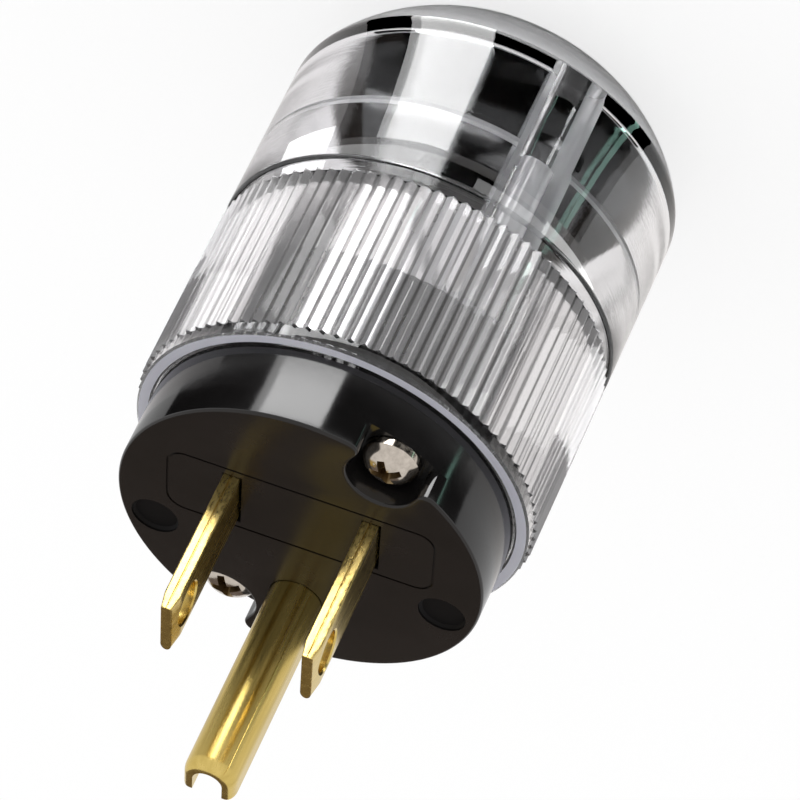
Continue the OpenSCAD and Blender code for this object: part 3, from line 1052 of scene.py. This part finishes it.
@dataclass
class FacePlate:
    """Satin face with notches, contact slots, a groove line and two round recesses."""

    radius: float = 16.85
    low: float = 49.3
    high: float = 52.2
    edge_r: float = 0.28
    notch_half: float = 3.2
    notch_corner: float = 1.0
    screws: ScrewPair = field(default_factory=ScrewPair)
    blade_x: float = 6.35
    blade_y: float = -2.93
    slot: Point2 = (1.68, 6.51)
    slot_play: float = 0.12
    ground_y: float = 8.96
    ground_r: float = 2.48
    ground_inner: float = 1.27
    ground_leg: float = 1.68
    panel: Triple = (24.7, 8.2, 1.8)
    panel_line: float = 0.22
    panel_depth: float = 0.18
    recess: Triple = (13.33, 3.78, 2.2)
    recess_depth: float = 0.45
    recess_edge: float = 0.25
    peg: tuple[float, float, float, float] = (10.5, 6.5, 1.25, 3.0)
    sharp: float = 28.0

    def outline(self) -> list[Point2]:
        """Gives the plate's outline with both notches.

        Returns:
            The points, anticlockwise.
        """
        points: list[Point2] = []
        side = self.notch_half + self.notch_corner
        corner_u = math.sqrt((self.radius - self.notch_corner) ** 2 - side**2)
        touch = math.degrees(math.atan2(side, corner_u))
        c = self.screws.circle_r
        for turn in self.screws.turns():
            local = arc(corner_u, -side, self.notch_corner, -touch, 90.0, 10)
            local += [(c + (corner_u - c) * 0.5, -self.notch_half)]
            local += arc(c, 0.0, self.notch_half, 270.0, 90.0, 30)
            local += [(c + (corner_u - c) * 0.5, self.notch_half)]
            local += arc(corner_u, side, self.notch_corner, -90.0, touch, 10)
            local += arc(0.0, 0.0, self.radius, touch, 180.0 - touch, 150)[1:-1]
            co, si = math.cos(math.radians(turn)), math.sin(math.radians(turn))
            points += [(u * co - v * si, u * si + v * co) for u, v in local]
        return points

    def rounded_rect(self, width: float, height: float, corner: float) -> list[Point2]:
        """Gives a rounded rectangle about the blade row's middle.

        Args:
            width: Size along X.
            height: Size along Y.
            corner: Radius of the corners.

        Returns:
            The points, anticlockwise.
        """
        x, y = width / 2 - corner, height / 2 - corner
        points: list[Point2] = []
        for sx, sy, start in ((1, 1, 0.0), (-1, 1, 90.0), (-1, -1, 180.0), (1, -1, 270.0)):
            points += arc(sx * x, self.blade_y + sy * y, corner, start, start + 90.0, 10)
        return points

    def cutters(self) -> list[Piece]:
        """Gives the tools for the slots, the groove line and the recesses.

        Returns:
            The tools, in the order of the cuts.
        """
        low, high = self.low - 1.0, self.high + 1.0
        tools = []
        for side in (-1, 1):
            x0 = side * self.blade_x - self.slot[0] / 2 - self.slot_play
            x1 = side * self.blade_x + self.slot[0] / 2
            y0, y1 = self.blade_y - self.slot[1] / 2, self.blade_y + self.slot[1] / 2
            tools.append(prism("slot", rect(x0, y0, x1, y1), low, high))
        y = self.ground_y
        arch = [(self.ground_r, y + self.ground_leg), (self.ground_inner, y + self.ground_leg)]
        arch += arc(0.0, y, self.ground_inner, 0.0, -180.0, 24)
        arch += [(-self.ground_inner, y + self.ground_leg), (-self.ground_r, y + self.ground_leg)]
        arch += arc(0.0, y, self.ground_r, 180.0, 360.0, 32)
        tools.append(prism("arch slot", arch, low, high))
        width, height, corner = self.panel
        line = self.panel_line
        outer = self.rounded_rect(width, height, corner)
        inner = self.rounded_rect(width - 2 * line, height - 2 * line, corner - line)
        floor = self.high - self.panel_depth
        loops = ((outer, floor), (outer, high), (inner, high), (inner, floor))
        tools.append(ring_mesh("groove", [lift(loop, z) for loop, z in loops], True))
        rx, ry, rr = self.recess
        ground, edge = self.high - self.recess_depth, self.recess_edge
        profile = [(rr - edge, ground), (rr, ground + edge), (rr, high)]
        tools += [lathe("recess", profile, (side * rx, ry), count=48) for side in (-1, 1)]
        return tools

    def build(self) -> Piece:
        """Builds the face plate with its two pegs.

        Returns:
            The finished object.
        """
        outline = self.outline()
        levels = [(0.0, self.low), (0.0, self.high - self.edge_r)]
        for i in range(1, 6):
            a = math.radians(18.0 * i)
            d = self.edge_r * (1.0 - math.cos(a))
            levels.append((d, self.high - self.edge_r * (1.0 - math.sin(a))))
        rings = [lift(inset(outline, d), z) for d, z in levels]
        piece = clean(ring_mesh("face_plate_satin", rings, False))
        combine(piece, self.cutters())
        px, py, pr, plen = self.peg
        peg = [(pr, self.low - plen), (pr, self.low + 0.3)]
        combine(piece, [lathe("peg", peg, (side * px, py)) for side in (-1, 1)], Merge.JOIN)
        clean(piece, self.sharp)
        for face in piece.data.polygons:
            place = face.center / MM
            side = face.normal.z < 0.3 and place.z < self.high - 0.5 * self.edge_r
            face.material_index = 2 if self.in_recess(place) else int(side)
        return settle(piece, "face_plate", (SATIN, GLOSS, SUNK))

    def in_recess(self, place: Vector) -> bool:
        """Tells whether a face lies in one of the two round recesses.

        Args:
            place: Middle of the face, in millimetres.

        Returns:
            True for a recess's ground and edge.
        """
        rx, ry, rr = self.recess
        near = math.hypot(abs(place.x) - rx, place.y - ry)
        return near < rr + 0.02 and self.high - self.recess_depth - 0.02 < place.z < self.high - 0.05


def screw_hole(radius: float, low: float, high: float, centre: Point2) -> Piece:
    """Gives the tool for a terminal screw's hole through a foot between two heights."""
    return lathe("screw hole", [(radius, low - 1.0), (radius, high + 0.5)], centre)


@dataclass
class Blade:
    """Folded brass blade with a sheared free edge, a hole and a bevelled tip."""

    side: int
    node: str
    x: float = 6.35
    y: float = -2.93
    width: float = 6.35
    thick: float = 1.52
    face_z: float = 52.2
    seam_z: float = 49.3
    foot_z: float = 41.2
    foot_t: float = 1.5
    foot_end: float = 11.2
    length: float = 14.6
    hole_r: float = 1.98
    hole_z: float = 11.5
    tip_t: float = 0.95
    bevel: float = 1.5
    shank_extra: float = 1.3
    screw_x: float = 8.8
    screw_r: float = 1.55
    corner: float = 0.16
    side_rows: Triple = (-1.6, 0.0, 1.4)
    seam: tuple[Point2, ...] = ((0.35, 0.0), (0.1, 0.0), (0.03, 0.12))
    row_gap: float = 0.22
    tip_edge: float = 0.12
    sheared_w: float = 0.2
    wobble: Point2 = (-0.01, 0.015)
    seed: int = 11
    sink: float = 0.3
    flare: float = 1.2
    flare_depth: float = 0.15
    sharp: float = 40.0

    def section(self) -> list[Point2]:
        """Gives the folded section about the blade's own centre.

        Returns:
            The points, anticlockwise.
        """
        t, w, c = self.thick / 2, self.width / 2, self.corner
        points = arc(t - c, -w + c, c, -90.0, 0.0, 4)
        points += [(t, y) for y in self.side_rows]
        points += arc(0.0, w - t, t, 0.0, 180.0, 14)
        points += [(-t, y) for y in reversed(self.side_rows)]
        points += arc(-t + c, -w + c, c, 180.0, 270.0, 4)
        points += [(-x, -w + depth) for x, depth in self.seam]
        points += [(x, -w + depth) for x, depth in reversed(self.seam)]
        return points

    def rings(self) -> list[Ring]:
        """Gives the level sections up to the bevelled tip, with the sheared edge left uneven.

        Returns:
            The sections' points.
        """
        chance = random.Random(self.seed + self.side)
        tip = self.face_z + self.length
        half_w = self.width / 2
        heights = [self.foot_z + self.sink, self.seam_z]
        z = self.face_z - 0.6
        while z < tip - 0.02:
            heights.append(z)
            z += self.row_gap
        heights += [tip - self.tip_edge, tip]
        rings: list[Ring] = []
        for z in heights:
            slim = max(0.0, (z - (tip - self.bevel)) / self.bevel)
            ratio = 1.0 - slim * (1.0 - self.tip_t / self.thick)
            end = self.tip_edge if z >= tip - 1e-6 else 0.0
            ring: Ring = []
            for x, y in self.section():
                sheared = y < -half_w + self.sheared_w and z > self.seam_z
                wobble = chance.uniform(*self.wobble) if sheared else 0.0
                px = x * ratio * (1.0 - end * 0.6)
                py = max(min(y + wobble, half_w - end), -half_w + end)
                ring.append((self.side * self.x + px, self.y + py, z))
            rings.append(ring)
        return rings

    def build(self) -> Piece:
        """Builds the blade with its shank and terminal foot.

        Returns:
            The finished object.
        """
        piece = clean(ring_mesh(self.node + "_folded", self.rings(), False))
        half_w, half_t = self.width / 2, self.thick / 2
        middle, top = self.side * self.x, self.foot_z + self.foot_t
        shank_w = (self.width + self.shank_extra) / 2
        shank = rect(middle - half_t, self.y - shank_w, middle + half_t, self.y + shank_w)
        x0, x1 = sorted((self.side * (self.x - half_t), self.side * self.foot_end))
        foot = rect(x0, self.y - half_w, x1, self.y + half_w)
        parts = [prism("shank", shank, top, self.seam_z), prism("foot", foot, self.foot_z, top)]
        combine(piece, parts, Merge.JOIN)
        screw = screw_hole(self.screw_r, self.foot_z, top, (self.side * self.screw_x, self.y))
        combine(piece, [self.hole_tool(), screw])
        clean(piece, self.sharp)
        for face in piece.data.polygons:
            place = face.center / MM
            edge = place.y < self.y - half_w + self.sheared_w and place.z > self.seam_z
            face.material_index = int(edge and face.normal.z < 0.5)
        return settle(piece, self.node, (BRASS, SHEARED))

    def hole_tool(self) -> Piece:
        """Gives the tool for the hole, flared where it meets the broad faces.

        Returns:
            The tool, in its place.
        """
        r, half, flare = self.hole_r, self.thick / 2 - self.flare_depth, self.flare
        profile = [(r + flare, -half - flare), (r, -half), (r, half), (r + flare, half + flare)]
        tool = lathe("hole", profile, count=56)
        centre = Vector((self.side * self.x, self.y, self.face_z + self.hole_z)) * MM
        tool.data.transform(Matrix.Translation(centre) @ Matrix.Rotation(math.radians(90.0), 4, "Y"))
        return tool


@dataclass
class GroundPin:
    """U-shaped brass ground pin with a bevelled tip and a terminal foot."""

    y: float = 8.96
    radius: float = 2.4
    sheet: float = 1.05
    leg: float = 1.6
    face_z: float = 52.2
    length: float = 20.5
    bevel: float = 1.2
    foot_z: float = 41.2
    foot_t: float = 1.5
    foot: Triple = (3.0, 1.66, 10.56)
    screw_y: float = 4.06
    screw_r: float = 1.55
    crease: float = 231.0
    crease_depth: float = 0.05
    bevel_share: float = 0.72
    sink: float = 0.3
    sharp: float = 40.0

    def sheet_lines(self) -> tuple[list[Point2], list[Point2]]:
        """Gives the outer and inner lines of the bent sheet, from the +X leg round to the -X leg.

        Returns:
            Outer points and inner points, as many of each.
        """
        inner_r = self.radius - self.sheet
        outer: list[Point2] = []
        inner: list[Point2] = []
        for y in (self.leg, self.leg * 0.5):
            outer.append((self.radius, y))
            inner.append((inner_r, y))
        crease = self.crease - 360.0
        angles = {0.0 - 180.0 * i / 40 for i in range(41)} | {crease + d for d in (-1.1, 0.0, 1.1)}
        for angle in sorted(angles, reverse=True):
            a = math.radians(angle)
            dent = self.crease_depth if abs(angle - crease) < 0.5 else 0.0
            outer.append(((self.radius - dent) * math.cos(a), (self.radius - dent) * math.sin(a)))
            inner.append((inner_r * math.cos(a), inner_r * math.sin(a)))
        for y in (self.leg * 0.5, self.leg):
            outer.append((-self.radius, y))
            inner.append((-inner_r, y))
        return outer, inner

    def ring(self, outer: Sequence[Point2], inner: Sequence[Point2], share: float, z: float) -> Ring:
        """Gives one level section of the pin.

        Args:
            outer: Outer line of the sheet.
            inner: Inner line of the sheet.
            share: How far the outer line is drawn towards the inner one, 0 to 1.
            z: Height.

        Returns:
            The section's points.
        """
        pairs = zip(outer, inner)
        drawn = [(ox + (ix - ox) * share, oy + (iy - oy) * share) for (ox, oy), (ix, iy) in pairs]
        loop = drawn + list(reversed(inner))
        return [(x, self.y + y, z) for x, y in loop]

    def build(self) -> Piece:
        """Builds the pin with its foot.

        Returns:
            The finished object.
        """
        sheet = self.sheet_lines()
        tip = self.face_z + self.length
        rings = [self.ring(*sheet, 0.0, z) for z in (self.foot_z + self.sink, tip - self.bevel)]
        for i in range(1, 8):
            a = math.radians(90.0 * i / 7.0)
            share = self.bevel_share * (1.0 - math.cos(a))
            rings.append(self.ring(*sheet, share, tip - self.bevel * (1.0 - math.sin(a))))
        piece = clean(ring_mesh("ground_pin_bent", rings, False))
        half, y0, y1 = self.foot
        top = self.foot_z + self.foot_t
        combine(piece, [prism("foot", rect(-half, y0, half, y1), self.foot_z, top)], Merge.JOIN)
        combine(piece, [screw_hole(self.screw_r, self.foot_z, top, (0.0, self.screw_y))])
        clean(piece, self.sharp)
        return settle(piece, "ground_pin", (BRASS,))


@dataclass
class AssemblyScrews:
    """Two domed screws with cross recesses and cut threads."""

    head_r: float = 2.6
    head_h: float = 2.2
    seat_z: float = 49.3
    length: float = 22.6
    core_r: float = 1.1
    thread_depth: float = 0.29
    pitch: float = 0.7
    recess_depth: float = 1.0
    tip_r: float = 0.35
    tip_h: float = 1.0
    thread_low: float = 1.1
    thread_high: float = 1.0
    rows_per_turn: int = 8
    neck_r: float = 1.25
    neck_h: float = 0.8
    head_edge: float = 0.12
    cross: Point2 = (1.62, 0.42)
    cross_floor: Point2 = (0.55, 0.5)
    cross_mouth: Point2 = (1.3, 1.2)
    cross_turns: Point2 = (20.0, 110.0)
    points: int = 48
    sharp: float = 30.0
    screws: ScrewPair = field(default_factory=ScrewPair)

    def template(self, thread: GeometryBoard) -> Piece:
        """Builds one screw on the axis.

        Args:
            thread: Tree that raises the thread.

        Returns:
            The screw, to be set on both places.
        """
        low, seat = self.seat_z - self.length, self.seat_z
        rows: list[Point2] = [(self.tip_r, low), (self.core_r, low + self.tip_h)]
        z = low + self.thread_low
        while z < seat - self.thread_high:
            rows.append((self.core_r, z))
            z += self.pitch / self.rows_per_turn
        rows += [(self.neck_r, seat - self.neck_h), (self.neck_r, seat)]
        rows += [(self.head_r - self.head_edge, seat), (self.head_r, seat + self.head_edge)]
        rows.append((self.head_r, self.dome(self.head_r) - 0.05))
        for i in range(1, 13):
            r = self.head_r * (1.0 - i / 12.0) + 0.02
            rows.append((r, self.dome(r)))
        piece = lathe("screw", rows, count=self.points)
        start, end = (low + self.thread_low - 0.05) * MM, (seat - self.thread_high + 0.05) * MM
        mark_points(piece, "thread", lambda co: start < co.z < end)
        thread.use(
            piece,
            {
                "Pitch": self.pitch * MM,
                "Core Radius": self.core_r * MM,
                "Thread Depth": self.thread_depth * MM,
                "Finish": material_of(NICKEL),
            },
        )
        clean(piece, self.sharp)
        combine(piece, self.cross_tools())
        return clean(piece, self.sharp)

    def cross_tools(self) -> list[Piece]:
        """Gives the tools for the tapered cross recess.

        Returns:
            One tool for each bar of the cross.
        """
        top = self.seat_z + self.head_h
        levels = ((self.cross_floor, top - self.recess_depth), (self.cross_mouth, top + 0.4))
        rings: list[Ring] = []
        for (along, across), z in levels:
            x, y = self.cross[0] * along, self.cross[1] * across
            rings.append(lift(rect(-x, -y, x, y), z))
        tools = []
        for turn in self.cross_turns:
            tool = ring_mesh("recess", rings, False)
            tool.data.transform(Matrix.Rotation(math.radians(turn), 4, "Z"))
            tools.append(tool)
        return tools

    def build(self, thread: GeometryBoard, scatter: GeometryBoard) -> Piece:
        """Builds both screws as one piece.

        Args:
            thread: Tree that raises the thread.
            scatter: Tree that sets the screw on its places.

        Returns:
            The finished object.
        """
        one = self.template(thread)
        one.data.materials.clear()
        points = bpy.data.meshes.new("screw places")
        points.from_pydata([(x * MM, y * MM, 0.0) for x, y in self.screws.centres()], [], [])
        piece = new_object("assembly_screws_nickel", points)
        scatter.use(piece, {"Shape": one, "Finish": material_of(NICKEL)})
        bpy.data.objects.remove(one)
        clean(piece, self.sharp)
        self.paint(piece)
        return settle(piece, "assembly_screws", (NICKEL, RECESS_SHADE))

    def dome(self, r: float) -> float:
        """Gives the height of the domed head at a distance from the screw's axis."""
        dome_r = 1.2 * self.head_r
        return self.seat_z + self.head_h - dome_r + math.sqrt(dome_r**2 - r**2)

    def paint(self, piece: Piece) -> None:
        """Sets the material index of the cross recesses, whose darker brown nickel is painted shade.

        Args:
            piece: Both screws.
        """
        for face in piece.data.polygons:
            x, y, z = (c / MM for c in face.center)
            r = min(math.hypot(x - cx, y - cy) for cx, cy in self.screws.centres())
            # Faces of the recess under the dome take the painted shade.
            in_shade = r < 0.85 * self.head_r and self.seat_z + 0.4 < z < self.dome(r) - 0.06
            face.material_index = int(in_shade)


@dataclass
class InnerParts:
    """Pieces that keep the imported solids' shape: body, cover, terminals and cord clamp."""

    sharp: float = 30.0

    def build(self) -> list[Piece]:
        """Dresses a merged copy of each inner node.

        Returns:
            The finished objects.
        """
        plan = (
            ("contact_body", Slot.GLOSS, GLOSS),
            ("terminal_cover", Slot.GLOSS, GLOSS),
            ("line_clamp_plate", Slot.BRASS, BRASS),
            ("neutral_clamp_plate", Slot.NICKEL, NICKEL),
            ("ground_clamp_plate", Slot.BRASS, BRASS),
            ("line_terminal_screw", Slot.BRASS, BRASS),
            ("neutral_terminal_screw", Slot.NICKEL, NICKEL),
            ("ground_terminal_screw", Slot.GREEN, GREEN),
            ("cord_strap", Slot.ZINC, ZINC),
            ("cord_strap_screws", Slot.ZINC, ZINC),
        )
        pieces = []
        for node, slot, finish in plan:
            piece = new_object(node + "_dressed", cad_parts[node].data.copy())
            piece.data.materials.clear()
            pieces.append(settle(clean(piece, self.sharp), node, (finish,)))
        return pieces


# Stage


@dataclass(frozen=True)
class Card:
    """Level card in the shape of a ring sector.

    Attributes:
        name: Object name.
        start: First azimuth in degrees.
        end: Last azimuth in degrees.
        reach: Inner and outer radius.
        strength: Light that the card gives; 0 makes it black.
        z: Height.
        colour: Colour of that light.
        through: False hides the card from rays through clear plastic.
    """

    name: str
    start: float
    end: float
    reach: Point2
    strength: float
    z: float = 0.3
    colour: Triple = WHITE
    through: bool = True


PALE, BARREL, GRIP, BODY_BAND = (18.9, 83.0), (19.0, 50.0), (54.0, 82.0), (84.0, 130.0)
MINT = (0.5, 0.9, 0.75)
CARDS = (
    Card("pale ring left", 80.0, 260.0, PALE, 0.84, 0.2, (1.0, 0.97, 0.95)),
    Card("pale ring right", -100.0, 80.0, PALE, 0.8, 0.2, (1.0, 0.97, 0.97)),
    Card("shade card", -176.0, -160.0, BARREL, 0.8),
    Card("dark card left", -160.0, -87.0, BARREL, 0.0),
    Card("bright card", -87.0, -58.0, BARREL, 8.0),
    Card("fading card", -58.0, -54.0, BARREL, 4.0),
    Card("dark card right", -54.0, -34.0, BARREL, 0.0),
    Card("dark card left", -170.0, -88.0, GRIP, 0.0),
    Card("bright card", -88.0, -48.0, GRIP, 6.0),
    Card("dark card right", -48.0, -14.0, GRIP, 0.0),
    Card("dark card left", -179.0, -87.0, BODY_BAND, 0.0),
    Card("bright card", -87.0, -53.0, BODY_BAND, 10.0),
    Card("fading card", -53.0, -48.0, BODY_BAND, 4.0),
    Card("dark card right", -48.0, 10.0, BODY_BAND, 0.0),
    Card("soft card left", 100.0, 181.0, BODY_BAND, 0.9),
    Card("soft card right", 10.0, 60.0, BODY_BAND, 0.7),
    Card("pale card rear", -151.0, -148.5, BARREL, 2.5, 0.4, MINT),
    Card("pale card front", -163.0, -160.5, BODY_BAND, 2.5, 0.4, MINT),
    Card("flank card left", 180.0, 219.0, (54.0, 70.0), 7.0, 0.4, through=False),
    Card("flank card dim", 219.0, 256.0, (56.0, 74.0), 3.0, 0.4, through=False),
    Card("flank card right", -88.0, -32.0, (53.0, 70.0), 3.5, 0.4, through=False),
    Card("flank card far right", -32.0, -6.0, (44.0, 65.0), 6.0, 0.4, through=False),
    Card("flank card end", -6.0, 8.0, (52.0, 64.0), 6.0, 0.4, through=False),
)


@dataclass
class Studio:
    """Camera, floor, reflecting cards and world."""

    eye: Triple = (-88.276, -392.8, 305.52)
    right: Triple = (-0.93238, -0.04395, -0.35880)
    up: Triple = (0.31538, -0.58394, -0.74803)
    lens: float = 249.29
    shadow_lift: float = 0.75
    foot_r: float = 18.0
    floor_half: float = 3000.0
    face_z: float = 52.2
    dim_distance: float = 150.0
    dim_half: float = 85.0
    dim_strength: float = 0.2
    dim_colour: Triple = (1.0, 0.82, 0.7)

    def camera(self) -> Piece:
        """Sets the camera at the photograph's viewing angle.

        Returns:
            The camera.
        """
        data = bpy.data.cameras.new("camera")
        data.lens = self.lens
        data.sensor_width = 36.0
        data.sensor_fit = "HORIZONTAL"
        data.clip_start = 0.01
        camera = bpy.data.objects.new("camera", data)
        right = Vector(self.right).normalized()
        up = Vector(self.up)
        up = (up - right * up.dot(right)).normalized()
        back = right.cross(up)
        turn = Matrix((right, up, back)).transposed().to_4x4()
        camera.matrix_world = Matrix.Translation(Vector(self.eye) * MM) @ turn
        bpy.context.scene.collection.objects.link(camera)
        bpy.context.scene.camera = camera
        return camera

    def world(self) -> None:
        """Sets an even white world."""
        world = bpy.data.worlds.new("white room")
        world.use_nodes = True
        background = world.node_tree.nodes["Background"]
        background.inputs["Color"].default_value = (*WHITE, 1.0)
        background.inputs["Strength"].default_value = 1.0
        bpy.context.scene.world = world

    def floor(self) -> Piece:
        """Lays a white floor, whose shade is lifted for the camera and beside the plug.

        Returns:
            The floor.
        """
        board = ShaderBoard("white floor")
        shaded = board.add("ShaderNodeBsdfDiffuse")
        shaded.inputs["Color"].default_value = (*WHITE, 1.0)
        rays = board.add("ShaderNodeLightPath").outputs
        reach = board.add("ShaderNodeVectorMath", operation="LENGTH")
        board.link(board.add("ShaderNodeTexCoord").outputs["Object"], reach.inputs[0])
        beside = board.math("GREATER_THAN", reach.outputs["Value"], self.foot_r * MM)
        bent = board.math("MAXIMUM", rays["Is Glossy Ray"], rays["Is Transmission Ray"])
        seen = board.math("MAXIMUM", rays["Is Camera Ray"], board.math("MULTIPLY", bent, beside))
        mix = board.add("ShaderNodeMixShader")
        board.link(board.math("MULTIPLY", seen, self.shadow_lift), mix.inputs[0])
        board.link(shaded.outputs[0], mix.inputs[1])
        board.link(board.glow(WHITE, 1.0).outputs[0], mix.inputs[2])
        half = self.floor_half
        return self.sheet("floor", lift(rect(-half, -half, half, half), 0.0), board.surface(mix))

    def sheet(self, name: str, corners: Ring, material: Material) -> Piece:
        """Sets up one flat face of the stage.

        Args:
            name: Object name.
            corners: Corners in millimetres.
            material: Its material.

        Returns:
            The object.
        """
        mesh = bpy.data.meshes.new(name)
        points = [tuple(c * MM for c in corner) for corner in corners]
        mesh.from_pydata(points, [], [tuple(range(len(corners)))])
        mesh.materials.append(material)
        sheet = new_object(name, mesh)
        return sheet

    def card(self, name: str, corners: Ring, strength: float, colour: Triple) -> Piece:
        """Sets up one reflecting card that only shows in gloss and through clear plastic.

        Args:
            name: Object name.
            corners: Corners in millimetres.
            strength: Light that the card gives; 0 makes it black.
            colour: Colour of that light.

        Returns:
            The card.
        """
        board = ShaderBoard(name)
        card = self.sheet(name, corners, board.surface(board.glow(colour, strength)))
        card.visible_camera = False
        card.visible_diffuse = False
        card.visible_shadow = False
        return card

    def sector(self, plan: Card) -> None:
        """Sets up a card in the shape of a ring sector.

        Args:
            plan: Place, size and light of the card.
        """
        near, far = plan.reach
        line = arc(0.0, 0.0, far, plan.start, plan.end, 24)
        line += arc(0.0, 0.0, near, plan.end, plan.start, 24)
        card = self.card(plan.name, lift(line, plan.z), plan.strength, plan.colour)
        card.visible_transmission = plan.through

    def build(self) -> None:
        """Builds the whole stage."""
        self.camera()
        self.world()
        self.floor()
        for plan in CARDS:
            self.sector(plan)
        self.card("dim card above", self.dim_corners(), self.dim_strength, self.dim_colour)

    def dim_corners(self) -> Ring:
        """Gives the corners of the card that the face mirrors to the camera.

        Returns:
            The corners.
        """
        centre = Vector((0.0, 0.0, self.face_z))
        away = (centre - Vector(self.eye)).normalized()
        away.z = -away.z
        side = away.cross(Vector((0.0, 0.0, 1.0))).normalized()
        rise = side.cross(away)
        middle, half = centre + away * self.dim_distance, self.dim_half
        return [tuple(middle + side * x + rise * y) for x, y in rect(-half, -half, half, half)]


def main() -> None:
    """Builds every piece and the stage in order."""
    logging.basicConfig(level=logging.INFO, format="%(name)s %(message)s")
    bpy.context.scene.view_settings.view_transform = "Standard"
    grip = ridge_tree("grip ribs", "grip", ("Rib Count", "Root Radius", "Rib Depth"), False)
    thread = ridge_tree("helical thread", "thread", ("Pitch", "Core Radius", "Thread Depth"), True)
    HousingShell().build(grip)
    FacePlate().build()
    Blade(1, "line_blade").build()
    Blade(-1, "neutral_blade").build()
    GroundPin().build()
    AssemblyScrews().build(thread, scatter_tree())
    InnerParts().build()
    Studio().build()


if __name__ == "__main__":
    main()
